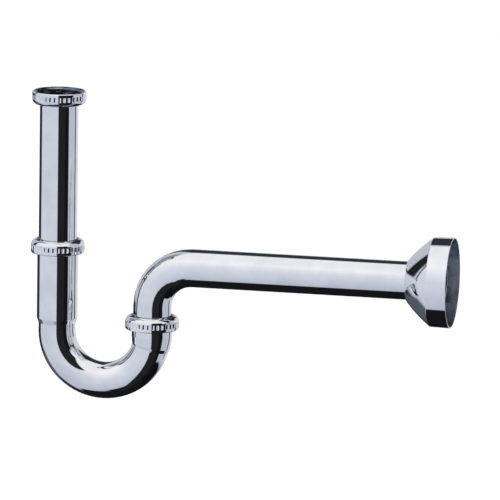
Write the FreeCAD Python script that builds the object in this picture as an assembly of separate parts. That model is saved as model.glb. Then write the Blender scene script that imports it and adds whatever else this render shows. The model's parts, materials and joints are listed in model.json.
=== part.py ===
import FreeCAD, Part
import math
import os

os.makedirs("parts", exist_ok=True)

# Tubular basin trap, in millimetres. The origin is the centre of the sealing face on top of the
# inlet gasket, where the basin's waste comes down. +Z is up and +X runs towards the wall.

# Layout
arm_spacing = 82.0  # inlet axis to outlet axis, across the U bend
inlet_drop = 197.3  # sealing face down to the centre of the U bend
outlet_rise = 59.0  # centre of the U bend up to the axis of the wall pipe
wall_reach = 336.0  # inlet axis to the wall
wall_gap = 7.0  # wall pipe stops this far short of the wall
elbow_radius = 34.0  # centre line of the elbow

# Tubes
pipe_od = 32.0
pipe_wall = 1.0
bend_od = 31.0
bend_wall = 1.2
socket_wall = 0.95
slip_gap = 0.08  # radial clearance of a tube that slides in a socket
inlet_insertion = 33.5  # inlet tube below the top of its socket
outlet_insertion = 12.8  # elbow leg below the top of its socket
inlet_socket_depth = 68.0  # top of the inlet collar down to the narrow tube
inlet_taper_length = 4.0  # cone between the inlet socket and the narrow tube
inlet_taper_shift = 0.5  # the bore narrows this much below the outside
inlet_collar_rise = 74.5  # top of the inlet collar above the bend's centre
outlet_collar_rise = 13.8  # top of the outlet collar above the bend's centre
outlet_taper_angle = 16.0  # degrees of the bend over which the outlet socket narrows

# Union thread, G 1 1/4, drawn plain at its outside size
thread_od = 41.9
thread_depth = 1.48
thread_gap = 0.08
collar_height = 7.3
collar_chamfer_depth = 3.0
collar_mouth_wall = 2.05

# Union nuts
nut_wall = 1.52  # outside the thread, before the grooves
nut_height = 11.8
nut_lip = 1.5
nut_hole_gap = 0.4
nut_lean = 13.0  # degrees, falling outwards just before the shoulder rounds over
nut_lean_width = 2.1
nut_shoulder_round = 5.1
nut_seat_gap = 0.35  # round the slip ring, inside the lip
nut_seat_depth = 1.1
nut_seat_flare = 1.0  # cone from the seat out to the relief
nut_relief = 0.22  # bore is this much wider between the seat and the thread
nut_bevel = 0.25
nut_mouth_round = 1.1
groove_count = 36
groove_width = 2.25
groove_depth = 0.62
groove_start = 4.8
groove_length = 4.2

# Rings and seals
slip_ring_thickness = 1.0
flange_thickness = 1.2
flange_core_gap = 0.47  # flange edge to the thread's core
gasket_thickness = 2.0
gasket_core_gap = 0.27
ring_core_gap = 0.2
seal_flange_thickness = 1.2
seal_cone_depth = 2.8
seal_gap = 0.05
slip_ring_gap = 0.3

# Wall escutcheon
escutcheon_od = 75.2
escutcheon_depth = 37.5
escutcheon_band = 16.6
escutcheon_wall = 0.9
escutcheon_hole_gap = 0.4
escutcheon_band_flare = 0.4
grip_ring_offset = 3.4  # grip ring behind the escutcheon's neck
grip_ring_width = 2.6
grip_ring_wall = 1.65
bell_bulge = 0.3  # the bell stands this far outside a straight cone
bell_middle = 0.45  # share of the bell's length at which it is measured

# Places worked out from the values above
pipe_r = pipe_od / 2
pipe_bore_r = pipe_r - pipe_wall
bend_r = bend_od / 2
bend_bore_r = bend_r - bend_wall
bend_radius = arm_spacing / 2
socket_bore_r = pipe_r + slip_gap
socket_r = socket_bore_r + socket_wall
collar_r = thread_od / 2
thread_core_r = collar_r - thread_depth
ring_r = thread_core_r - ring_core_gap
nut_bore_r = collar_r + thread_gap
nut_r = nut_bore_r + nut_wall
nut_hole_r = pipe_r + nut_hole_gap
bend_level = -inlet_drop
pipe_level = bend_level + outlet_rise
inlet_collar_top = bend_level + inlet_collar_rise
outlet_collar_top = bend_level + outlet_collar_rise
seal_stack = seal_flange_thickness + slip_ring_thickness + nut_lip
thread_start = nut_lip + slip_ring_thickness + flange_thickness + gasket_thickness
top_shoulder = -thread_start
elbow_centre = FreeCAD.Vector(arm_spacing + elbow_radius, 0, pipe_level - elbow_radius)
pipe_end = wall_reach - wall_gap


def closed_outline(steps):
    # A step is one point for a straight edge, or two points for an arc through the first.
    edges = []
    here = steps[0][-1]
    for step in steps[1:] + steps[:1]:
        there = step[-1]
        start = FreeCAD.Vector(here[0], 0, here[1])
        end = FreeCAD.Vector(there[0], 0, there[1])
        if len(step) == 2:
            middle = FreeCAD.Vector(step[0][0], 0, step[0][1])
            edges.append(Part.Arc(start, middle, end).toShape())
        else:
            edges.append(Part.LineSegment(start, end).toShape())
        here = there
    return Part.Face(Part.Wire(edges))


def round_middle(centre_r, centre_height, radius, angle):
    # The point halfway along a quarter round.
    turn = math.radians(angle)
    return centre_r + radius * math.cos(turn), centre_height + radius * math.sin(turn)


def turned(steps):
    # Radius and height pairs, spun about the Z axis.
    return closed_outline(steps).revolve(FreeCAD.Vector(0, 0, 0), FreeCAD.Vector(0, 0, 1), 360)


def flat_ring(inner_r, outer_r, bottom, height, axis_x=0.0):
    steps = [
        [(inner_r, bottom)],
        [(outer_r, bottom)],
        [(outer_r, bottom + height)],
        [(inner_r, bottom + height)],
    ]
    ring = turned(steps)
    ring.translate(FreeCAD.Vector(axis_x, 0, 0))
    return ring


def rod(radius, start, direction, length):
    return Part.makeCylinder(radius, length, start, direction)


def bent_rod(radius, centre, start, tangent, angle):
    # A round bar that follows an arc about a horizontal axis through the centre.
    disc = Part.Face(Part.Wire(Part.makeCircle(radius, start, tangent)))
    return disc.revolve(centre, FreeCAD.Vector(0, 1, 0), angle)


def joined(pieces):
    whole = pieces[0].multiFuse(pieces[1:])
    return whole.removeSplitter()


def save(name, shape):
    solid = shape.Solids[0]
    if len(shape.Solids) != 1 or not solid.isValid():
        raise ValueError(name + " is not one sound solid")
    solid.exportStep("parts/" + name + ".step")


def inlet_tube():
    bottom = inlet_collar_top - inlet_insertion
    return flat_ring(pipe_bore_r, pipe_r, bottom, -gasket_thickness - bottom)


def inlet_flange_ring():
    # Brazed round the top of the inlet tube, it carries the tube's weight on the nut's lip.
    bottom = -gasket_thickness - flange_thickness
    return flat_ring(pipe_r, thread_core_r - flange_core_gap, bottom, flange_thickness)


def inlet_gasket():
    outer_r = thread_core_r - gasket_core_gap
    return flat_ring(pipe_bore_r, outer_r, -gasket_thickness, gasket_thickness)


def slip_ring(bottom, axis_x):
    # It lets the nut turn without dragging the seal or the flange, and passes the nut's thread.
    return flat_ring(pipe_r + slip_ring_gap, ring_r, bottom, slip_ring_thickness, axis_x)


def groove_cutters():
    # Flat-sided vees for grip, evenly spaced round the nut; each cutter stands as far out as it reaches in.
    corners = [
        FreeCAD.Vector(nut_r - groove_depth, 0, groove_start),
        FreeCAD.Vector(nut_r + groove_depth, groove_width, groove_start),
        FreeCAD.Vector(nut_r + groove_depth, -groove_width, groove_start),
    ]
    outline = Part.Face(Part.makePolygon(corners + corners[:1]))
    cutters = []
    for number in range(groove_count):
        cutter = outline.extrude(FreeCAD.Vector(0, 0, groove_length))
        cutter.rotate(FreeCAD.Vector(0, 0, 0), FreeCAD.Vector(0, 0, 1), 360 * number / groove_count)
        cutters.append(cutter)
    return cutters


def union_nut(shoulder, axis_x, mouth_up):
    # Heights run from the shoulder, 0, to the mouth of the nut.
    lean = math.radians(nut_lean)
    shoulder_r = nut_r - nut_shoulder_round
    lean_end_r = shoulder_r + nut_shoulder_round * math.sin(lean)
    lean_drop = nut_lean_width * math.tan(lean)
    shoulder_drop = lean_drop + nut_shoulder_round * math.cos(lean)
    shoulder_middle = round_middle(shoulder_r, shoulder_drop, nut_shoulder_round, nut_lean / 2 - 45)
    seat_r = ring_r + nut_seat_gap
    seat_end = nut_lip + nut_seat_depth
    steps = [
        [(nut_hole_r, 0)],
        [(lean_end_r - nut_lean_width, 0)],
        [(lean_end_r, lean_drop)],
        [shoulder_middle, (nut_r, shoulder_drop)],
        [(nut_r, nut_height - nut_mouth_round)],
        [round_middle(nut_r - nut_mouth_round, nut_height - nut_mouth_round, nut_mouth_round, 45),
         (nut_r - nut_mouth_round, nut_height)],
        [(nut_bore_r + nut_bevel, nut_height)],
        [(nut_bore_r, nut_height - nut_bevel)],
        [(nut_bore_r, thread_start)],
        [(nut_bore_r + nut_relief, thread_start)],
        [(nut_bore_r + nut_relief, seat_end + nut_seat_flare)],
        [(seat_r, seat_end)],
        [(seat_r, nut_lip)],
        [(nut_hole_r, nut_lip)],
    ]
    nut = turned(steps).cut(groove_cutters())
    if not mouth_up:
        nut.rotate(FreeCAD.Vector(0, 0, 0), FreeCAD.Vector(1, 0, 0), 180)
    nut.translate(FreeCAD.Vector(axis_x, 0, shoulder))
    return nut


def cone_seal(collar_top, axis_x):
    # A rubber wedge pressed between the tube and the bevel inside the threaded collar.
    inner_r = pipe_r + seal_gap
    wedge_top_r = collar_r - collar_mouth_wall - 2 * seal_gap
    slope = (collar_r - collar_mouth_wall - socket_r) / collar_chamfer_depth
    steps = [
        [(inner_r, -seal_cone_depth)],
        [(wedge_top_r - slope * seal_cone_depth, -seal_cone_depth)],
        [(wedge_top_r, 0)],
        [(ring_r, 0)],
        [(ring_r, seal_flange_thickness)],
        [(inner_r, seal_flange_thickness)],
    ]
    seal = turned(steps)
    seal.translate(FreeCAD.Vector(axis_x, 0, collar_top))
    return seal


def threaded_collar(collar_top, axis_x):
    # Brazed round the socket, with a bevel above the tube's end for the cone seal.
    steps = [
        [(socket_r, -collar_height)],
        [(collar_r, -collar_height)],
        [(collar_r, 0)],
        [(collar_r - collar_mouth_wall, 0)],
        [(socket_r, -collar_chamfer_depth)],
    ]
    collar = turned(steps)
    collar.translate(FreeCAD.Vector(axis_x, 0, collar_top))
    return collar


def bend_inlet_side(tube_r, socket_radius, top, taper_bottom):
    # The straight inlet arm: a socket, a short cone and the tube that leads into the bend.
    steps = [
        [(0, 0)],
        [(tube_r, 0)],
        [(tube_r, taper_bottom)],
        [(socket_radius, taper_bottom + inlet_taper_length)],
        [(socket_radius, top)],
        [(0, top)],
    ]
    return turned(steps)


def bend_outlet_taper(socket_radius, tube_r, sections=5):
    # The outlet socket narrows to the tube while it is already following the bend.
    rings = []
    for number in range(sections):
        share = number / (sections - 1)
        angle = math.radians(outlet_taper_angle * share)
        radius = socket_radius + (tube_r - socket_radius) * (1 - math.cos(math.pi * share)) / 2
        x = bend_radius + bend_radius * math.cos(angle)
        centre = FreeCAD.Vector(x, 0, -bend_radius * math.sin(angle))
        tangent = FreeCAD.Vector(-math.sin(angle), 0, -math.cos(angle))
        rings.append(Part.Wire(Part.makeCircle(radius, centre, tangent)))
    return Part.makeLoft(rings, True, False)


def trap_bend():
    # Built about the centre of the bend's inlet arm, then lowered to its place.
    centre = FreeCAD.Vector(bend_radius, 0, 0)
    up = FreeCAD.Vector(0, 0, 1)
    outlet = FreeCAD.Vector(arm_spacing, 0, 0)
    tube_drop = collar_chamfer_depth
    taper = inlet_collar_rise - inlet_socket_depth
    outer_turn = bent_rod(bend_r, centre, FreeCAD.Vector(0, 0, 0), up, -(180 - outlet_taper_angle))
    outside = joined([
        bend_inlet_side(bend_r, socket_r, inlet_collar_rise - tube_drop, taper),
        outer_turn,
        bend_outlet_taper(socket_r, bend_r),
        rod(socket_r, outlet, up, outlet_collar_rise - tube_drop),
    ])
    inside = joined([
        bend_inlet_side(bend_bore_r, socket_bore_r, inlet_collar_rise, taper - inlet_taper_shift),
        bent_rod(bend_bore_r, centre, FreeCAD.Vector(0, 0, 0), up, -180),
        rod(socket_bore_r, outlet, up, outlet_collar_rise),
    ])
    bend = outside.cut(inside)
    bend.translate(FreeCAD.Vector(0, 0, bend_level))
    return bend


def outlet_run(radius, leg_bottom, far_end):
    # Elbow leg, elbow and wall pipe as one solid bar.
    leg_foot = FreeCAD.Vector(arm_spacing, 0, leg_bottom)
    leg_top = FreeCAD.Vector(arm_spacing, 0, elbow_centre.z)
    pipe_start = FreeCAD.Vector(elbow_centre.x, 0, pipe_level)
    up = FreeCAD.Vector(0, 0, 1)
    along = FreeCAD.Vector(1, 0, 0)
    return joined([
        rod(radius, leg_foot, up, elbow_centre.z - leg_bottom),
        bent_rod(radius, elbow_centre, leg_top, up, 90),
        rod(radius, pipe_start, along, far_end - elbow_centre.x),
    ])


def outlet_pipe():
    leg_bottom = outlet_collar_top - outlet_insertion
    outside = outlet_run(pipe_r, leg_bottom, pipe_end)
    return outside.cut(outlet_run(pipe_bore_r, leg_bottom, pipe_end))


def along_pipe(shape, neck):
    # Turns a shape drawn about Z so that its foot sits on the wall pipe at the given distance.
    shape.rotate(FreeCAD.Vector(0, 0, 0), FreeCAD.Vector(0, 1, 0), 90)
    shape.translate(FreeCAD.Vector(neck, 0, pipe_level))
    return shape


def escutcheon():
    # A thin bell from the neck to a crease, then a nearly straight band to the wall.
    hole_r = pipe_r + escutcheon_hole_gap
    rim_r = escutcheon_od / 2
    crease_r = rim_r - escutcheon_band_flare
    crease = escutcheon_depth - escutcheon_band
    wall = escutcheon_wall
    bell_lean = math.atan2(crease_r - hole_r - wall, crease)
    bell_mid = ((hole_r + wall + crease_r) / 2 + bell_bulge, crease * bell_middle)
    bell_inside = (bell_mid[0] - wall * math.cos(bell_lean), bell_mid[1] + wall * math.sin(bell_lean))
    steps = [
        [(hole_r, 0)],
        [(hole_r + wall, 0)],
        [bell_mid, (crease_r, crease)],
        [(rim_r, escutcheon_depth)],
        [(rim_r - wall, escutcheon_depth)],
        [(crease_r - wall, crease)],
        [bell_inside, (hole_r, wall)],
    ]
    return along_pipe(turned(steps), wall_reach - escutcheon_depth)


def escutcheon_grip_ring():
    # A soft ring that grips the pipe behind the neck, so the escutcheon stays where it is slid.
    inner_r = pipe_r + seal_gap
    ring = flat_ring(inner_r, inner_r + grip_ring_wall, grip_ring_offset, grip_ring_width)
    return along_pipe(ring, wall_reach - escutcheon_depth)


save("inlet_tube", inlet_tube())
save("inlet_flange_ring", inlet_flange_ring())
save("inlet_gasket", inlet_gasket())
save("top_slip_ring", slip_ring(top_shoulder + nut_lip, 0.0))
save("top_union_nut", union_nut(top_shoulder, 0.0, True))
save("inlet_cone_seal", cone_seal(inlet_collar_top, 0.0))
save("mid_slip_ring", slip_ring(inlet_collar_top + seal_flange_thickness, 0.0))
save("mid_union_nut", union_nut(inlet_collar_top + seal_stack, 0.0, False))
save("trap_bend", trap_bend())
save("bend_inlet_collar", threaded_collar(inlet_collar_top, 0.0))
save("bend_outlet_collar", threaded_collar(outlet_collar_top, arm_spacing))
save("outlet_cone_seal", cone_seal(outlet_collar_top, arm_spacing))
save("outlet_slip_ring", slip_ring(outlet_collar_top + seal_flange_thickness, arm_spacing))
save("outlet_union_nut", union_nut(outlet_collar_top + seal_stack, arm_spacing, False))
save("outlet_pipe", outlet_pipe())
save("escutcheon", escutcheon())
save("escutcheon_grip_ring", escutcheon_grip_ring())
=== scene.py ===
import json
import math

import bmesh
import bpy
from mathutils import Matrix, Vector


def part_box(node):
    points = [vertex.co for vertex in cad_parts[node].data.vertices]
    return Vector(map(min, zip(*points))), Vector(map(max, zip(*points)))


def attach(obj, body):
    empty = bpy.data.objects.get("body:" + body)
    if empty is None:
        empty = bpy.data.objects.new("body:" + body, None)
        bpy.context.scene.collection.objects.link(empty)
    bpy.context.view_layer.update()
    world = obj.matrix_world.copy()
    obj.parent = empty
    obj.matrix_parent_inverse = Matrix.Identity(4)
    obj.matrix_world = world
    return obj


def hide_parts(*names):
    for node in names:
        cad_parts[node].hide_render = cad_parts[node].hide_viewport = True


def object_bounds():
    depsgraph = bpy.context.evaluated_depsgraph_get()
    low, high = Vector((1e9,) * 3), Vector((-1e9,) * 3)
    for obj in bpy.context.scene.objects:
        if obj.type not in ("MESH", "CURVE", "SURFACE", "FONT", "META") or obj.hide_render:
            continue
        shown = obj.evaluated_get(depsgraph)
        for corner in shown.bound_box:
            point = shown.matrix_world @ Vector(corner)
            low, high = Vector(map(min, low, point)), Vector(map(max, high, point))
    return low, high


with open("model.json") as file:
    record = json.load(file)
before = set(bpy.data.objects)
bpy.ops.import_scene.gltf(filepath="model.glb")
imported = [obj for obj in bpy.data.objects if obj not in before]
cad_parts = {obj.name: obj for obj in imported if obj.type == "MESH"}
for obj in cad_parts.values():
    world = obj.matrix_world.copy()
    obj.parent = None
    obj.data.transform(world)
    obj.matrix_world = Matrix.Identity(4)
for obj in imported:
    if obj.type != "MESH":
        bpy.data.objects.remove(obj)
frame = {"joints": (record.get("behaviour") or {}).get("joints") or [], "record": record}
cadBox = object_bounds()

scene = bpy.context.scene
mm = 0.001


# where things are, read from the frame

def jointNamed(name):
    return next(joint for joint in frame["joints"] if joint["name"] == name)


inletTubeLow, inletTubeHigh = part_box("inlet_tube")
bendLow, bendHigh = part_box("trap_bend")
pipeLow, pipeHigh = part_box("outlet_pipe")
inletCollarLow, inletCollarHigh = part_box("bend_inlet_collar")
outletCollarLow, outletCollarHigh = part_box("bend_outlet_collar")
escutcheonLow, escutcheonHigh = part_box("escutcheon")

bendLevel = jointNamed("bend_swivel")["pos_m"][2]
outletAxis = Vector(((outletCollarLow.x + outletCollarHigh.x) / 2, 0, 0))
inletAxis = Vector((0, 0, 0))
tubeRadius = inletTubeHigh.x
collarRadius = inletCollarHigh.x
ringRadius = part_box("top_slip_ring")[1].x
nutOuter = -cadBox[0][0]
socketRadius = -bendLow.x
bendRadius = outletAxis.x / 2
bendTubeRadius = bendLevel - bendRadius - bendLow.z
pipeLevel = pipeHigh.z - pipeHigh.y
pitch = frame["record"]["behaviour"]["couplings"][0]["ratio"] * 2 * math.pi  # thread pitch


# skins: one closed outline carried round a straight or a bent route

def straightRoute(origin, direction, side):
    alongAxis = Vector(direction)
    firstSide = Vector(side)
    secondSide = alongAxis.cross(firstSide)

    def place(distance):
        return origin + alongAxis * distance, firstSide, secondSide

    return place


def softened(corners, arcSteps=5, support=0.06 * mm):
    # corners are (distance, radius, rounding, finish)
    # each rounding becomes an arc with a support point at both sides
    points = []
    for index, (distance, radius, rounding, finish) in enumerate(corners):
        here = Vector((distance, radius))
        before = Vector(corners[index - 1][:2]) - here
        after = Vector(corners[(index + 1) % len(corners)][:2]) - here
        lastFinish = corners[index - 1][3]
        if rounding == 0:
            points.append((here.x, here.y, finish))
            continue
        half = before.angle(after) / 2
        setback = rounding / math.tan(half)
        toBefore = before.normalized()
        toAfter = after.normalized()
        centre = here + (toBefore + toAfter).normalized() * rounding / math.sin(half)
        first = here + toBefore * setback - centre
        last = here + toAfter * setback - centre
        turn = first.angle_signed(last)
        gap = here + toBefore * (setback + support)
        points.append((gap.x, gap.y, lastFinish))
        for step in range(arcSteps + 1):
            arm = first.copy()
            arm.rotate(Matrix.Rotation(-turn * step / arcSteps, 2))
            points.append((centre.x + arm.x, centre.y + arm.y, finish if step == arcSteps else lastFinish))
        gap = here + toAfter * (setback + support)
        points.append((gap.x, gap.y, finish))
    return points


longestRun = 6 * mm


def divided(points, longest, start=-math.inf, end=math.inf):
    # adds points on the long runs between start and end, so that a bend or a thread has enough of them
    result = []
    for index, (distance, radius, finish) in enumerate(points):
        result.append((distance, radius, finish))
        nextDistance, nextRadius, _ = points[(index + 1) % len(points)]
        middle = (distance + nextDistance) / 2
        span = math.hypot(nextDistance - distance, nextRadius - radius)
        if not start < middle < end or span <= longest:
            continue
        count = math.ceil(span / longest)
        for step in range(1, count):
            share = step / count
            result.append((
                distance + (nextDistance - distance) * share,
                radius + (nextRadius - radius) * share,
                finish,
            ))
    return result


def skin(name, outline, place, around, finishes, shape=None, sharpAngle=40):
    # the outline's points are (distance, radius, finish), and shape may move a point by its angle
    build = bmesh.new()
    rings = []
    for distance, radius, _ in outline:
        ring = []
        for number in range(around):
            angle = 2 * math.pi * number / around
            bentDistance, bentRadius = distance, radius
            if shape is not None:
                bentDistance, bentRadius = shape(angle, distance, radius)
            centre, firstSide, secondSide = place(bentDistance)
            spoke = firstSide * math.cos(angle) + secondSide * math.sin(angle)
            ring.append(build.verts.new(centre + spoke * bentRadius))
        rings.append(ring)
    for index, ring in enumerate(rings):
        nextRing = rings[(index + 1) % len(rings)]
        for number in range(around):
            nextNumber = (number + 1) % around
            face = build.faces.new((ring[number], ring[nextNumber], nextRing[nextNumber], nextRing[number]))
            face.material_index = outline[index][2]
            face.smooth = True
    bmesh.ops.recalc_face_normals(build, faces=build.faces)
    mesh = bpy.data.meshes.new(name)
    build.to_mesh(mesh)
    build.free()
    mesh.set_sharp_from_angle(angle=math.radians(sharpAngle))
    piece = bpy.data.objects.new(name, mesh)
    scene.collection.objects.link(piece)
    for finish in finishes:
        mesh.materials.append(finish)
    return piece


def settle(piece, body, node):
    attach(piece, body)
    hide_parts(node)
    print("made", piece.name, len(piece.data.polygons), "faces")
    return piece


def newFinish(name):
    finish = bpy.data.materials.new(name)
    finish.use_nodes = True
    nodes = finish.node_tree.nodes
    shader = nodes["Principled BSDF"]
    return finish, nodes, finish.node_tree.links, shader


def noiseField(nodes, links, coords, scale, detail, stretch=(1, 1, 1)):
    squeeze = nodes.new("ShaderNodeMapping")
    squeeze.inputs["Scale"].default_value = stretch
    links.new(coords.outputs["Object"], squeeze.inputs["Vector"])
    noise = nodes.new("ShaderNodeTexNoise")
    noise.inputs["Scale"].default_value = scale
    noise.inputs["Detail"].default_value = detail
    links.new(squeeze.outputs["Vector"], noise.inputs["Vector"])
    return noise


def spread(nodes, links, source, low, high, fromLow=0.3, fromHigh=0.7):
    ramp = nodes.new("ShaderNodeMapRange")
    ramp.inputs["From Min"].default_value = fromLow
    ramp.inputs["From Max"].default_value = fromHigh
    ramp.inputs["To Min"].default_value = low
    ramp.inputs["To Max"].default_value = high
    links.new(source, ramp.inputs["Value"])
    return ramp.outputs["Result"]


def tinted(nodes, links, source, look, fromLow=0.35, fromHigh=0.65):
    ramp = nodes.new("ShaderNodeValToRGB")
    ramp.color_ramp.elements[0].position = fromLow
    ramp.color_ramp.elements[0].color = (*look["dark"], 1)
    ramp.color_ramp.elements[1].position = fromHigh
    ramp.color_ramp.elements[1].color = (*look["light"], 1)
    links.new(source, ramp.inputs["Fac"])
    return ramp.outputs["Color"]


def raised(nodes, links, source, height, lower=None):
    bump = nodes.new("ShaderNodeBump")
    bump.inputs["Strength"].default_value = 1.0
    bump.inputs["Distance"].default_value = height
    links.new(source, bump.inputs["Height"])
    if lower is not None:
        links.new(lower, bump.inputs["Normal"])
    return bump.outputs["Normal"]


def platedFinish(name, look):
    # polished plate: clean colour, faint haze patches, long waves from the tube and fine polishing lines
    finish, nodes, links, shader = newFinish(name)
    coords = nodes.new("ShaderNodeTexCoord")
    haze = noiseField(nodes, links, coords, look["hazeScale"], 3)
    waves = noiseField(nodes, links, coords, look["waveScale"], 1, look["waveStretch"])
    lines = noiseField(nodes, links, coords, look["lineScale"], 2, look["lineStretch"])
    links.new(tinted(nodes, links, haze.outputs["Fac"], look), shader.inputs["Base Color"])
    roughness = spread(nodes, links, haze.outputs["Fac"], look["smooth"], look["hazy"])
    links.new(roughness, shader.inputs["Roughness"])
    longWaves = raised(nodes, links, waves.outputs["Fac"], look["waveHeight"])
    fineLines = raised(nodes, links, lines.outputs["Fac"], look["lineHeight"], longWaves)
    links.new(fineLines, shader.inputs["Normal"])
    shader.inputs["Metallic"].default_value = 1.0
    return finish


tubeChromeLook = {
    "dark": (0.80, 0.815, 0.84),
    "light": (0.88, 0.89, 0.905),
    "smooth": 0.015,
    "hazy": 0.05,
    "hazeScale": 60,
    "waveScale": 40,
    "waveStretch": (1, 1, 1),
    "waveHeight": 0.02 * mm,
    "lineScale": 1500,
    "lineStretch": (1, 1, 1),
    "lineHeight": 0.0006 * mm,
}
tubeChrome = platedFinish("tubeChrome", tubeChromeLook)

nutChromeLook = dict(tubeChromeLook, smooth=0.02, hazy=0.06, waveHeight=0.01 * mm)
nutChrome = platedFinish("nutChrome", nutChromeLook)

bellChromeLook = dict(tubeChromeLook, smooth=0.02, hazy=0.07, waveHeight=0.03 * mm)
bellChrome = platedFinish("bellChrome", bellChromeLook)

dullPlateLook = dict(
    tubeChromeLook,
    dark=(0.42, 0.45, 0.51),
    light=(0.76, 0.80, 0.87),
    smooth=0.14,
    hazy=0.30,
    hazeScale=45,
    waveHeight=0.12 * mm,
    lineHeight=0.01 * mm,
)
dullPlate = platedFinish("dullPlate", dullPlateLook)

# dark plate for the nut's inside; on the shoulder round the hole it also makes a painted shadow ring where
# the nut meets the tube
nutInsideAndShadowRingLook = dict(
    tubeChromeLook,
    dark=(0.15, 0.165, 0.20),
    light=(0.34, 0.365, 0.43),
    smooth=0.12,
    hazy=0.25,
    hazeScale=120,
    lineHeight=0.008 * mm,
)
nutInsideAndShadowRing = platedFinish("nutInsideAndShadowRing", nutInsideAndShadowRingLook)

rawBrassLook = dict(
    tubeChromeLook,
    dark=(0.48, 0.36, 0.16),
    light=(0.72, 0.56, 0.30),
    smooth=0.22,
    hazy=0.42,
    lineStretch=(1, 1, 6),
    lineHeight=0.01 * mm,
)
rawBrass = platedFinish("rawBrass", rawBrassLook)


def mouldedFinish(name, look):
    # moulded rubber or plastic: mottled colour, a fine grain and a low sheen
    finish, nodes, links, shader = newFinish(name)
    coords = nodes.new("ShaderNodeTexCoord")
    mottle = noiseField(nodes, links, coords, look["mottleScale"], 4)
    grain = noiseField(nodes, links, coords, look["grainScale"], 2)
    links.new(tinted(nodes, links, mottle.outputs["Fac"], look), shader.inputs["Base Color"])
    roughness = spread(nodes, links, mottle.outputs["Fac"], look["smooth"], look["rough"])
    links.new(roughness, shader.inputs["Roughness"])
    links.new(raised(nodes, links, grain.outputs["Fac"], look["grainHeight"]), shader.inputs["Normal"])
    return finish


blackRubberLook = {
    "dark": (0.012, 0.012, 0.013),
    "light": (0.035, 0.035, 0.036),
    "smooth": 0.45,
    "rough": 0.7,
    "mottleScale": 300,
    "grainScale": 2500,
    "grainHeight": 0.02 * mm,
}
blackRubber = mouldedFinish("blackRubber", blackRubberLook)

paleRingLook = dict(
    blackRubberLook,
    dark=(0.74, 0.74, 0.71),
    light=(0.86, 0.86, 0.83),
    smooth=0.3,
    rough=0.42,
)
paleRing = mouldedFinish("paleRing", paleRingLook)
print("finishes ready:", len(bpy.data.materials))


tubeWay = {"wall": 1.0 * mm, "endRound": 0.3 * mm, "around": 160}


def makeInletTube():
    low = inletTubeLow.z
    high = inletTubeHigh.z
    inner = tubeRadius - tubeWay["wall"]
    outline = softened([
        (low, tubeRadius, tubeWay["endRound"], 0),
        (high, tubeRadius, tubeWay["endRound"], 1),
        (high, inner, tubeWay["endRound"], 1),
        (low, inner, tubeWay["endRound"], 1),
    ])
    place = straightRoute(inletAxis, (0, 0, 1), (1, 0, 0))
    piece = skin("inletTube", divided(outline, longestRun), place, tubeWay["around"], [tubeChrome, dullPlate])
    return settle(piece, "inlet", "inlet_tube")


bendWay = {
    "wall": 1.2 * mm,
    "slipGap": 0.08 * mm,
    "stepTop": 10.5 * mm,  # above the bend's centre, where the inlet socket starts to narrow
    "stepLength": 4.0 * mm,
    "stepRound": 2.0 * mm,
    "innerLag": 0.5 * mm,  # how much further on the bore narrows than the outside
    "outletSlope": 11.5,  # degrees of the bend with the outlet socket's slow narrowing
    "outletStep": 15.0,  # degrees at which the step down to the tube is over
    "outletSlopeRadius": 16.25 * mm,
    "outletBack": 3.0 * mm,  # from the outlet collar's mouth down to the socket's end
    "endRound": 0.2 * mm,
    "around": 160,
    "longest": 1.0 * mm,
}


def bendRoute():
    # down the inlet arm, round the half turn and up the outlet arm
    top = bendHigh.z
    straightLength = top - bendLevel
    turnLength = math.pi * bendRadius
    side = Vector((0, 1, 0))

    def place(distance):
        if distance < straightLength:
            return Vector((0, 0, top - distance)), side, Vector((1, 0, 0))
        if distance > straightLength + turnLength:
            rise = distance - straightLength - turnLength
            return Vector((outletAxis.x, 0, bendLevel + rise)), side, Vector((-1, 0, 0))
        turn = (distance - straightLength) / bendRadius
        inward = Vector((math.cos(turn), 0, math.sin(turn)))
        return Vector((bendRadius, 0, bendLevel)) - inward * bendRadius, side, inward

    return place, straightLength, turnLength


def makeTrapBend():
    place, straightLength, turnLength = bendRoute()
    way = bendWay
    stepStart = straightLength - way["stepTop"]
    stepEnd = stepStart + way["stepLength"]
    turnEnd = straightLength + turnLength
    slopeStart = turnEnd - math.radians(way["outletSlope"]) * bendRadius
    stepDown = turnEnd - math.radians(way["outletStep"]) * bendRadius
    end = turnEnd + outletCollarHigh.z - way["outletBack"] - bendLevel
    bore = tubeRadius + way["slipGap"]
    innerRadius = bendTubeRadius - way["wall"]
    outline = softened([
        (0, socketRadius, way["endRound"], 0),
        (stepStart, socketRadius, way["stepRound"], 0),
        (stepEnd, bendTubeRadius, way["stepRound"], 0),
        (stepDown, bendTubeRadius, way["stepRound"], 0),
        (slopeStart, way["outletSlopeRadius"], way["stepRound"], 0),
        (turnEnd, socketRadius, way["stepRound"], 0),
        (end, socketRadius, way["endRound"], 1),
        (end, bore, way["endRound"], 1),
        (turnEnd, bore, 0, 1),
        (turnEnd, innerRadius, 0, 1),
        (stepEnd + way["innerLag"], innerRadius, 0, 1),
        (stepStart + way["innerLag"], bore, 0, 1),
        (0, bore, way["endRound"], 1),
    ])
    outline = divided(outline, way["longest"], straightLength, turnEnd)
    outline = divided(outline, longestRun)
    piece = skin("trapBend", outline, place, way["around"], [tubeChrome, dullPlate])
    return settle(piece, "bend", "trap_bend")


pipeWay = {
    "wall": 1.0 * mm,
    "elbowRadius": 34.0 * mm,
    "endRound": 0.3 * mm,
    "around": 160,
    "longest": 0.8 * mm,
}


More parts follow.
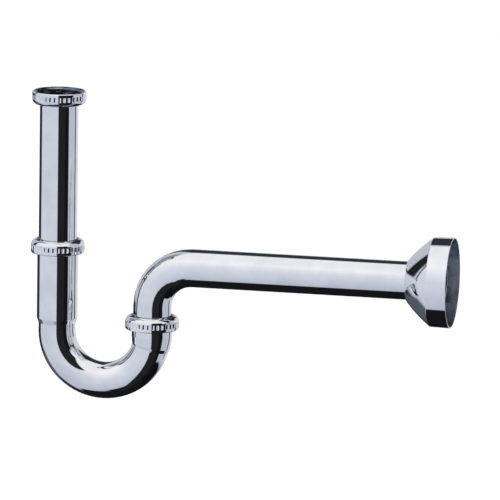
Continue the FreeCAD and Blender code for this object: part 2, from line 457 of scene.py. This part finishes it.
def makeOutletPipe():
    # up the leg, round the elbow and out to the wall
    elbow = pipeWay["elbowRadius"]
    legLength = pipeLevel - elbow - pipeLow.z
    turnLength = elbow * math.pi / 2
    centre = Vector((outletAxis.x + elbow, 0, pipeLevel - elbow))
    side = Vector((0, 1, 0))

    def place(distance):
        if distance < legLength:
            return Vector((outletAxis.x, 0, pipeLow.z + distance)), side, Vector((-1, 0, 0))
        turn = min((distance - legLength) / elbow, math.pi / 2)
        outward = Vector((-math.cos(turn), 0, math.sin(turn)))
        beyond = max(distance - legLength - turnLength, 0)
        return centre + outward * elbow + Vector((beyond, 0, 0)), side, outward

    radius = pipeHigh.y
    inner = radius - pipeWay["wall"]
    length = legLength + turnLength + pipeHigh.x - centre.x
    outline = softened([
        (0, radius, pipeWay["endRound"], 0),
        (length, radius, pipeWay["endRound"], 1),
        (length, inner, pipeWay["endRound"], 1),
        (0, inner, pipeWay["endRound"], 1),
    ])
    outline = divided(outline, pipeWay["longest"], legLength, legLength + turnLength)
    outline = divided(outline, longestRun)
    piece = skin("outletPipe", outline, place, pipeWay["around"], [tubeChrome, dullPlate])
    return settle(piece, "outlet", "outlet_pipe")


makeInletTube()
makeTrapBend()
makeOutletPipe()


threadWay = {
    "depth": 1.45 * mm,
    "steepness": 1.3,
    "play": 0.08 * mm,
    "fade": 0.6 * mm,
    "pointsPerTurn": 12,
}
sameRadius = 0.01 * mm  # radii closer than this belong to the same surface


def threadRadius(angle, height):
    # a right-hand thread with rounded crests and roots, cut into the collar's outside
    turnShare = (height / pitch - angle / (2 * math.pi)) % 1.0
    ridge = abs(2 * turnShare - 1)
    ridge = min(max(threadWay["steepness"] * (ridge - 0.5) + 0.5, 0), 1)
    return collarRadius - threadWay["depth"] * (1 - ridge)


nutWay = {
    "lip": 1.5 * mm,
    "holeEdge": 0.12 * mm,
    "corner": 0.1 * mm,
    "shadowRing": 1.4 * mm,  # width round the hole given the dark finish: a painted shadow where the nut meets the tube
    "holeGap": 0.4 * mm,
    "lean": 13.0,  # degrees, falling outwards just before the shoulder rounds over
    "leanWidth": 2.1 * mm,
    "shoulderRound": 5.1 * mm,
    "shoulderSteps": 24,
    "mouthRound": 1.1 * mm,
    "mouthSteps": 8,
    "bevelDepth": 0.5 * mm,
    "bevelWidth": 0.3 * mm,
    "bevelCorner": (0.06 * mm, 0.22 * mm),  # depth and width of the bevel's softened corner
    "seatGap": 0.35 * mm,
    "seatDepth": 1.1 * mm,
    "seatFlare": 1.0 * mm,
    "relief": 0.22 * mm,
    "threadFrom": 5.7 * mm,
    "grooves": 36,
    "grooveShare": 4 / 7,
    "grooveDepth": 0.62 * mm,
    "grooveFrom": 4.8 * mm,
    "grooveTo": 9.0 * mm,
    "grooveEnd": 0.35 * mm,
    "grooveEndSteps": 4,
    "grooveSkin": 0.2 * mm,  # the grooves move only what lies this close to the outside
    "sharpAngle": 25,
    "around": 504,
}


def easedStep(value):
    value = min(max(value, 0), 1)
    return value * value * (3 - 2 * value)


def roundedEdge(centreDistance, centreRadius, size, startAngle, endAngle, steps, finish):
    # part of a turn, with 0 degrees along the axis and 90 straight outwards, as (distance, radius, finish)
    points = []
    for step in range(steps + 1):
        turn = math.radians(startAngle + (endAngle - startAngle) * step / steps)
        points.append((centreDistance - size * math.cos(turn), centreRadius + size * math.sin(turn), finish))
    return points


def nutOutline(way, outer, hole, seat, bore, height):
    # round the shoulder, down the grooved band, round the mouth and back up through thread, relief and seat
    lean = math.radians(way["lean"])
    shoulder = outer - way["shoulderRound"]
    leanEnd = shoulder + way["shoulderRound"] * math.sin(lean)
    leanStart = leanEnd - way["leanWidth"]
    drop = way["leanWidth"] * math.tan(lean) + way["shoulderRound"] * math.cos(lean)
    relief = bore + way["relief"]
    seatEnd = way["lip"] + way["seatDepth"]
    corner = way["corner"]
    # from the hole out to here the shoulder takes the dark finish (index 1): a painted shadow ring round the
    # tube
    shadowRingEnd = hole + way["shadowRing"]
    points = [
        (way["holeEdge"], hole, 1),
        (0, leanStart, 1),
        ((shadowRingEnd - leanStart) * math.tan(lean), shadowRingEnd, 0),
    ]
    points += roundedEdge(drop, shoulder, way["shoulderRound"], way["lean"], 90, way["shoulderSteps"], 0)
    for edge, inward in ((way["grooveFrom"], 1), (way["grooveTo"], -1)):
        endSteps = way["grooveEndSteps"]
        run = [edge + inward * way["grooveEnd"] * step / endSteps for step in range(endSteps + 1)]
        points += [(distance, outer, 0) for distance in sorted(run) if distance > drop]
    mouthTop = height - way["mouthRound"]
    mouthRound = way["mouthRound"]
    points += roundedEdge(mouthTop, outer - mouthRound, mouthRound, 90, 180, way["mouthSteps"], 0)
    cornerDepth, cornerWidth = way["bevelCorner"]
    points.append((height, bore + way["bevelWidth"], 1))
    points.append((height - cornerDepth, bore + cornerWidth, 1))
    points.append((height - way["bevelDepth"], bore, 1))
    steps = math.ceil((height - way["bevelDepth"] - way["threadFrom"]) / pitch * threadWay["pointsPerTurn"])
    for step in range(1, steps + 1):
        share = step / steps
        distance = (height - way["bevelDepth"]) * (1 - share) + way["threadFrom"] * share
        points.append((distance, bore, 1))
    points += [
        (way["threadFrom"] - corner, relief, 1),
        (seatEnd + way["seatFlare"], relief, 1),
        (seatEnd, seat, 1),
        (way["lip"] + corner, seat, 1),
        (way["lip"], seat - corner, 1),
        (way["lip"], hole + way["holeEdge"], 1),
        (way["lip"] - way["holeEdge"], hole, 1),
    ]
    return points


def makeNut(name, body, node, axis, mouthUp):
    low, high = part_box(node)
    way = nutWay
    outer = nutOuter
    height = high.z - low.z
    hole = tubeRadius + way["holeGap"]
    seat = ringRadius + way["seatGap"]
    bore = collarRadius + threadWay["play"]
    sign = 1 if mouthUp else -1
    shoulder = low.z if mouthUp else high.z
    outline = nutOutline(way, outer, hole, seat, bore, height)
    turnEach = 2 * math.pi / way["grooves"]

    def shape(angle, distance, radius):
        if radius > outer - way["grooveSkin"] and way["grooveFrom"] <= distance <= way["grooveTo"]:
            offset = (angle / turnEach) % 1.0 - 0.5
            across = 1 - abs(2 * offset / way["grooveShare"])
            fromEnd = min(distance - way["grooveFrom"], way["grooveTo"] - distance) / way["grooveEnd"]
            return distance, radius - way["grooveDepth"] * max(across, 0) * easedStep(fromEnd)
        if abs(radius - bore) < sameRadius and distance >= way["threadFrom"]:
            cut = threadRadius(angle * sign, shoulder + sign * distance) + threadWay["play"]
            fromEnd = min(distance - way["threadFrom"], height - way["bevelDepth"] - distance)
            return distance, bore + (cut - bore) * easedStep(fromEnd / threadWay["fade"])
        return distance, radius

    place = straightRoute(axis + Vector((0, 0, shoulder)), (0, 0, sign), (1, 0, 0))
    piece = skin(name, outline, place, way["around"], [nutChrome, nutInsideAndShadowRing], shape, way["sharpAngle"])
    return settle(piece, body, node)


makeNut("topUnionNut", "top_nut", "top_union_nut", inletAxis, True)
makeNut("midUnionNut", "mid_nut", "mid_union_nut", inletAxis, False)
makeNut("outletUnionNut", "outlet_nut", "outlet_union_nut", outletAxis, False)


collarWay = {
    "mouthWall": 2.05 * mm,
    "bevelDepth": 3.0 * mm,
    "edge": 0.5 * mm,
    "corner": 0.1 * mm,
    "around": 240,
}


def makeCollar(name, node, axis):
    low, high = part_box(node)
    way = collarWay
    mouth = collarRadius - way["mouthWall"]
    corner = way["corner"]
    points = [(low.z, socketRadius, 0), (low.z, collarRadius - threadWay["depth"], 0)]
    threadLow = low.z + way["edge"]
    threadHigh = high.z - way["edge"]
    steps = math.ceil((threadHigh - threadLow) / pitch * threadWay["pointsPerTurn"])
    for step in range(steps + 1):
        points.append((threadLow + (threadHigh - threadLow) * step / steps, collarRadius, 0))
    points += [
        (high.z, collarRadius - threadWay["depth"] + corner, 0),
        (high.z, mouth + corner, 0),
        (high.z - corner, mouth - corner / 2, 0),
        (high.z - way["bevelDepth"], socketRadius, 0),
    ]

    def shape(angle, height, radius):
        if radius < collarRadius - sameRadius:
            return height, radius
        return height, threadRadius(angle, height)

    place = straightRoute(axis, (0, 0, 1), (1, 0, 0))
    piece = skin(name, points, place, way["around"], [rawBrass], shape)
    return settle(piece, "bend", node)


makeCollar("bendInletCollar", "bend_inlet_collar", inletAxis)
makeCollar("bendOutletCollar", "bend_outlet_collar", outletAxis)


def makeRing(name, body, node, axis, finish, look):
    low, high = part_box(node)
    outer = (high.y - low.y) / 2
    bottom = low.z + look["clear"]
    top = high.z - look["clear"]
    outline = softened([
        (bottom, outer, look["edge"], 0),
        (top, outer, look["edge"], 0),
        (top, look["inner"], look["edge"], 0),
        (bottom, look["inner"], look["edge"], 0),
    ])
    place = straightRoute(axis, (0, 0, 1), (1, 0, 0))
    piece = skin(name, outline, place, look["around"], [finish])
    return settle(piece, body, node)


flangeLook = {"edge": 0.2 * mm, "inner": tubeRadius, "clear": 0, "around": 160}
gasketLook = {"edge": 0.45 * mm, "inner": tubeRadius - 1.0 * mm, "clear": 0, "around": 160}
slipRingLook = {"edge": 0.2 * mm, "inner": tubeRadius + 0.3 * mm, "clear": 0.02 * mm, "around": 160}
makeRing("inletFlangeRing", "inlet", "inlet_flange_ring", inletAxis, rawBrass, flangeLook)
makeRing("inletGasket", "inlet", "inlet_gasket", inletAxis, blackRubber, gasketLook)
for name, body, node, axis in (
    ("topSlipRing", "top_ring", "top_slip_ring", inletAxis),
    ("midSlipRing", "mid_ring", "mid_slip_ring", inletAxis),
    ("outletSlipRing", "outlet_ring", "outlet_slip_ring", outletAxis),
):
    makeRing(name, body, node, axis, paleRing, slipRingLook)

sealLook = {
    "flange": 1.2 * mm,
    "gap": 0.05 * mm,
    "mouthWall": 2.15 * mm,
    "bevelDepth": 3.0 * mm,
    "edge": 0.25 * mm,
    "around": 160,
}


def makeConeSeal(name, body, node, axis):
    # a flat flange with a wedge below it that fills the collar's bevel
    low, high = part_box(node)
    look = sealLook
    inner = tubeRadius + look["gap"]
    outer = (high.y - low.y) / 2
    flangeBottom = high.z - look["flange"]
    wedgeTop = collarRadius - look["mouthWall"]
    slope = (collarRadius - collarWay["mouthWall"] - socketRadius) / look["bevelDepth"]
    outline = softened([
        (low.z, inner, look["edge"], 0),
        (low.z, wedgeTop - slope * (flangeBottom - low.z), look["edge"], 0),
        (flangeBottom, wedgeTop, 0, 0),
        (flangeBottom, outer, look["edge"], 0),
        (high.z, outer, look["edge"], 0),
        (high.z, inner, look["edge"], 0),
    ])
    place = straightRoute(axis, (0, 0, 1), (1, 0, 0))
    piece = skin(name, outline, place, look["around"], [blackRubber])
    return settle(piece, body, node)


makeConeSeal("inletConeSeal", "inlet_seal", "inlet_cone_seal", inletAxis)
makeConeSeal("outletConeSeal", "outlet_seal", "outlet_cone_seal", outletAxis)


escutcheonWay = {
    "wall": 0.9 * mm,
    "holeGap": 0.4 * mm,
    "band": 16.6 * mm,
    "flare": 0.4 * mm,
    "bulge": 0.3 * mm,
    "bellMiddle": 0.45,
    "creaseRound": 0.7 * mm,
    "edge": 0.2 * mm,
    "bellSteps": 24,
    "roundSteps": 6,
    "sharpAngle": 25,
    "around": 256,
}


def arcThrough(first, middle, last, steps):
    # points on the circle through three points
    ax, ay = first
    bx, by = middle
    cx, cy = last
    double = 2 * (ax * (by - cy) + bx * (cy - ay) + cx * (ay - by))
    aa = ax * ax + ay * ay
    bb = bx * bx + by * by
    cc = cx * cx + cy * cy
    ux = (aa * (by - cy) + bb * (cy - ay) + cc * (ay - by)) / double
    uy = (aa * (cx - bx) + bb * (ax - cx) + cc * (bx - ax)) / double
    radius = math.hypot(ax - ux, ay - uy)
    start = math.atan2(ay - uy, ax - ux)
    turn = (math.atan2(cy - uy, cx - ux) - start + math.pi) % (2 * math.pi) - math.pi
    angles = [start + turn * step / steps for step in range(steps + 1)]
    return [(ux + radius * math.cos(angle), uy + radius * math.sin(angle)) for angle in angles]


def makeEscutcheon():
    way = escutcheonWay
    neck = escutcheonLow.x
    depth = escutcheonHigh.x - neck
    rim = escutcheonHigh.y
    wall = way["wall"]
    hole = pipeHigh.y + way["holeGap"]
    crease = depth - way["band"]
    creaseRadius = rim - way["flare"]
    middle = ((hole + wall + creaseRadius) / 2 + way["bulge"], crease * way["bellMiddle"])
    bell = arcThrough((0, hole + wall), (middle[1], middle[0]), (crease, creaseRadius), way["bellSteps"])
    lean = math.atan2(creaseRadius - hole - wall, crease)
    innerMiddle = (middle[1] + wall * math.sin(lean), middle[0] - wall * math.cos(lean))
    innerBell = arcThrough((crease, creaseRadius - wall), innerMiddle, (wall, hole), way["bellSteps"])
    corners = [(0, hole, way["edge"], 0), (0, hole + wall, way["edge"], 0)]
    corners += [(x, radius, 0, 0) for x, radius in bell[1:-1]]
    corners += [
        (crease, creaseRadius, way["creaseRound"], 0),
        (depth, rim, way["edge"], 0),
        (depth, rim - wall, way["edge"], 1),
    ]
    corners += [(x, radius, 0, 1) for x, radius in innerBell]
    outline = softened(corners, way["roundSteps"])
    place = straightRoute(Vector((neck, 0, pipeLevel)), (1, 0, 0), (0, 1, 0))
    finishes = [bellChrome, dullPlate]
    piece = skin("wallEscutcheon", outline, place, way["around"], finishes, None, way["sharpAngle"])
    return settle(piece, "escutcheon", "escutcheon")


gripLook = {"gap": 0.05 * mm, "edge": 0.4 * mm, "around": 160}


def makeGripRing():
    low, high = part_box("escutcheon_grip_ring")
    inner = pipeHigh.y + gripLook["gap"]
    outline = softened([
        (low.x, inner, gripLook["edge"], 0),
        (low.x, high.y, gripLook["edge"], 0),
        (high.x, high.y, gripLook["edge"], 0),
        (high.x, inner, gripLook["edge"], 0),
    ])
    place = straightRoute(Vector((0, 0, pipeLevel)), (1, 0, 0), (0, 1, 0))
    piece = skin("escutcheonGripRing", outline, place, gripLook["around"], [blackRubber])
    return settle(piece, "grip", "escutcheon_grip_ring")


makeEscutcheon()
makeGripRing()


# studio: a pale floor, white surroundings and large cards that the plate mirrors

def addNode(tree, kind, **values):
    node = tree.nodes.new(kind)
    for key, value in values.items():
        setattr(node, key, value)
    return node


def calculate(tree, operation, first, second=None):
    node = addNode(tree, "ShaderNodeMath", operation=operation)
    for socket, value in zip(node.inputs, (first, second)):
        if value is None:
            continue
        if isinstance(value, (int, float)):
            socket.default_value = value
        else:
            tree.links.new(value, socket)
    return node.outputs[0]


def fadeBetween(tree, value, full, none):
    # 1 where the value is below full, 0 where it is above none
    node = addNode(tree, "ShaderNodeMapRange", interpolation_type="SMOOTHSTEP")
    node.inputs["From Min"].default_value = full
    node.inputs["From Max"].default_value = none
    node.inputs["To Min"].default_value = 1.0
    node.inputs["To Max"].default_value = 0.0
    tree.links.new(value, node.inputs["Value"])
    return node.outputs["Result"]


# angles in degrees: around is turned from the front, -Y, towards +X, and height is above the horizon;
# each card lies over the ones before it
studioCards = [
    {"name": "rightWall", "around": (79, 130), "height": (-41, 60), "edge": (3, 5),
     "colour": (0.55, 0.575, 0.665)},
    {"name": "rightWindow", "around": (124, 172), "height": (-30, 24), "edge": (2, 4),
     "colour": (0.74, 0.76, 0.83)},
    {"name": "rightBoard", "around": (127, 139), "height": (-30, -2), "edge": (2, 3),
     "colour": (0.07, 0.075, 0.085)},
    {"name": "backWall", "around": (172, 198), "height": (-14, 16), "edge": (3, 3),
     "colour": (0.55, 0.57, 0.63)},
    {"name": "leftWall", "around": (-165, -110), "height": (-9, 62), "edge": (3, 4),
     "colour": (0.56, 0.58, 0.64)},
    {"name": "leftShade", "around": (-130, -108), "height": (30, 60), "edge": (4, 5),
     "colour": (0.25, 0.26, 0.29)},
    {"name": "leftPost", "around": (-118, -98), "height": (3, 30), "edge": (3, 3),
     "colour": (0.014, 0.015, 0.017)},
    {"name": "backFlag", "around": (130, 196), "height": (24, 57), "edge": (5, 5),
     "colour": (0.02, 0.021, 0.024)},
    {"name": "backStrip", "around": (168, 208), "height": (16, 58), "edge": (2, 2),
     "colour": (0.03, 0.034, 0.04)},
    {"name": "sideFlag", "around": (-170, -108), "height": (-50, -7), "edge": (6, 2),
     "colour": (0.028, 0.03, 0.034)},
    {"name": "sideSkirt", "around": (-150, -100), "height": (-42, -24), "edge": (6, 3),
     "colour": (0.09, 0.107, 0.145)},
    {"name": "backSkirt", "around": (172, 202), "height": (-60, -16), "edge": (4, 3),
     "colour": (0.06, 0.066, 0.078)},
    {"name": "leftFloor", "around": (-200, -106), "height": (-95, -43), "edge": (8, 3),
     "colour": (0.014, 0.015, 0.017)},
    {"name": "rightFloor", "around": (74, 150), "height": (-95, -39), "edge": (2, 2),
     "colour": (0.005, 0.005, 0.006)},
    {"name": "backFloor", "around": (140, 200), "height": (-95, -33), "edge": (4, 3),
     "colour": (0.007, 0.007, 0.008)},
    {"name": "floorFlag", "around": (-185, 185), "height": (-95, -62), "edge": (1, 2),
     "colour": (0.008, 0.009, 0.01)},
    {"name": "frontFlag", "around": (10, 60), "height": (-95, 41), "edge": (2.5, 3),
     "colour": (0.016, 0.0175, 0.019)},
    {"name": "frontFlagEnd", "around": (52, 77), "height": (-95, 24), "edge": (3, 5),
     "colour": (0.008, 0.0085, 0.01)},
    {"name": "frontFoot", "around": (-14, 14), "height": (-95, -55), "edge": (5, 4),
     "colour": (0.01, 0.01, 0.011)},
]
skyTones = [
    (-60, (0.52, 0.55, 0.645)),
    (-11, (0.68, 0.705, 0.79)),
    (10, (0.74, 0.765, 0.85)),
    (30, (0.86, 0.875, 0.93)),
    (48, (1.0, 1.0, 1.02)),
    (88, (0.93, 0.93, 0.96)),
]
roomWhite = 1.16  # what lights the floor and what the camera sees behind it


def buildStudio():
    world = bpy.data.worlds.new("studio")
    scene.world = world
    world.use_nodes = True
    tree = world.node_tree
    tree.nodes.clear()
    coords = addNode(tree, "ShaderNodeTexCoord")
    parts = addNode(tree, "ShaderNodeSeparateXYZ")
    tree.links.new(coords.outputs["Generated"], parts.inputs[0])
    height = calculate(tree, "DEGREES", calculate(tree, "ARCSINE", parts.outputs["Z"]))
    sky = addNode(tree, "ShaderNodeValToRGB")
    stops = sky.color_ramp.elements
    while len(stops) < len(skyTones):
        stops.new(0.5)
    for stop, (level, colour) in zip(stops, skyTones):
        stop.position = level / 180 + 0.5
        stop.color = (*colour, 1)
    tree.links.new(calculate(tree, "ADD", calculate(tree, "DIVIDE", height, 180.0), 0.5), sky.inputs["Fac"])
    colour = sky.outputs["Color"]
    for card in studioCards:
        colour = addCard(tree, card, coords, height, colour)
    ray = addNode(tree, "ShaderNodeLightPath")
    tone = addNode(tree, "ShaderNodeMixRGB")
    tree.links.new(ray.outputs["Is Glossy Ray"], tone.inputs["Fac"])
    tone.inputs["Color1"].default_value = (roomWhite, roomWhite, roomWhite, 1)
    tree.links.new(colour, tone.inputs["Color2"])
    background = addNode(tree, "ShaderNodeBackground")
    tree.links.new(tone.outputs["Color"], background.inputs["Color"])
    output = addNode(tree, "ShaderNodeOutputWorld")
    tree.links.new(background.outputs[0], output.inputs["Surface"])


def addCard(tree, card, coords, height, colour):
    middle = sum(card["around"]) / 2
    half = (card["around"][1] - card["around"][0]) / 2
    sideEdge, endEdge = card["edge"]
    turned = addNode(tree, "ShaderNodeVectorRotate", rotation_type="Z_AXIS")
    turned.inputs["Angle"].default_value = -math.radians(middle)
    tree.links.new(coords.outputs["Generated"], turned.inputs["Vector"])
    parts = addNode(tree, "ShaderNodeSeparateXYZ")
    tree.links.new(turned.outputs[0], parts.inputs[0])
    towards = calculate(tree, "MULTIPLY", parts.outputs["Y"], -1.0)
    around = calculate(tree, "DEGREES", calculate(tree, "ARCTAN2", parts.outputs["X"], towards))
    across = fadeBetween(tree, calculate(tree, "ABSOLUTE", around), half - sideEdge, half + sideEdge)
    level = sum(card["height"]) / 2
    reach = (card["height"][1] - card["height"][0]) / 2
    offLevel = calculate(tree, "ABSOLUTE", calculate(tree, "SUBTRACT", height, level))
    upright = fadeBetween(tree, offLevel, reach - endEdge, reach + endEdge)
    cover = addNode(tree, "ShaderNodeMixRGB")
    tree.links.new(calculate(tree, "MULTIPLY", across, upright), cover.inputs["Fac"])
    tree.links.new(colour, cover.inputs["Color1"])
    cover.inputs["Color2"].default_value = (*card["colour"], 1)
    return cover.outputs["Color"]


buildStudio()
print("studio cards:", ", ".join(card["name"] for card in studioCards))

floorWay = {
    "below": 0.30,
    "half": 6.0,
    "cells": 24,
    "dark": (0.90, 0.90, 0.90),
    "light": (0.94, 0.94, 0.94),
    "roughness": 0.9,
    "mottleScale": 3,
}


def makeFloor():
    build = bmesh.new()
    cells = floorWay["cells"]
    bmesh.ops.create_grid(build, x_segments=cells, y_segments=cells, size=floorWay["half"])
    bmesh.ops.translate(build, verts=build.verts, vec=(0, 0, cadBox[0][2] - floorWay["below"]))
    mesh = bpy.data.meshes.new("paleFloor")
    build.to_mesh(mesh)
    build.free()
    floor = bpy.data.objects.new("paleFloor", mesh)
    scene.collection.objects.link(floor)
    finish, nodes, links, shader = newFinish("paleFloor")
    coords = nodes.new("ShaderNodeTexCoord")
    mottle = noiseField(nodes, links, coords, floorWay["mottleScale"], 2)
    links.new(tinted(nodes, links, mottle.outputs["Fac"], floorWay), shader.inputs["Base Color"])
    shader.inputs["Roughness"].default_value = floorWay["roughness"]
    mesh.materials.append(finish)
    floor.visible_glossy = False  # the plate mirrors the cards, not the floor


makeFloor()

lampWay = {"place": (-1.2, -2.0, 2.2), "size": 1.6, "power": 12}
lampData = bpy.data.lights.new("softLamp", "AREA")
lampData.size = lampWay["size"]
lampData.energy = lampWay["power"]
lamp = bpy.data.objects.new("softLamp", lampData)
lamp.location = lampWay["place"]
lamp.rotation_euler = (-Vector(lampWay["place"])).to_track_quat("-Z", "Y").to_euler()
lamp.visible_glossy = False
scene.collection.objects.link(lamp)

cameraWay = {
    "place": (1.004285, -4.076727, 0.686551),
    "yaw": 11.638,
    "pitch": 10.968,
    "roll": 0.995,
    "lens": 366.894,
    "sensor": 36.0,
    "clipEnd": 50,
}


def makeCamera():
    yaw = math.radians(cameraWay["yaw"])
    pitchDown = math.radians(cameraWay["pitch"])
    roll = math.radians(cameraWay["roll"])
    level = Vector((-math.sin(yaw), math.cos(yaw), 0))
    forward = level * math.cos(pitchDown) - Vector((0, 0, math.sin(pitchDown)))
    right = Vector((math.cos(yaw), math.sin(yaw), 0))
    up = right.cross(forward)
    rolledRight = right * math.cos(roll) + up * math.sin(roll)
    rolledUp = up * math.cos(roll) - right * math.sin(roll)
    data = bpy.data.cameras.new("studioCamera")
    data.lens = cameraWay["lens"]
    data.sensor_width = cameraWay["sensor"]
    data.clip_end = cameraWay["clipEnd"]
    camera = bpy.data.objects.new("studioCamera", data)
    turn = Matrix((rolledRight, rolledUp, -forward)).transposed().to_4x4()
    camera.matrix_world = Matrix.Translation(cameraWay["place"]) @ turn
    scene.collection.objects.link(camera)
    scene.camera = camera


makeCamera()
scene.view_settings.view_transform = "Standard"
print("camera and light ready")
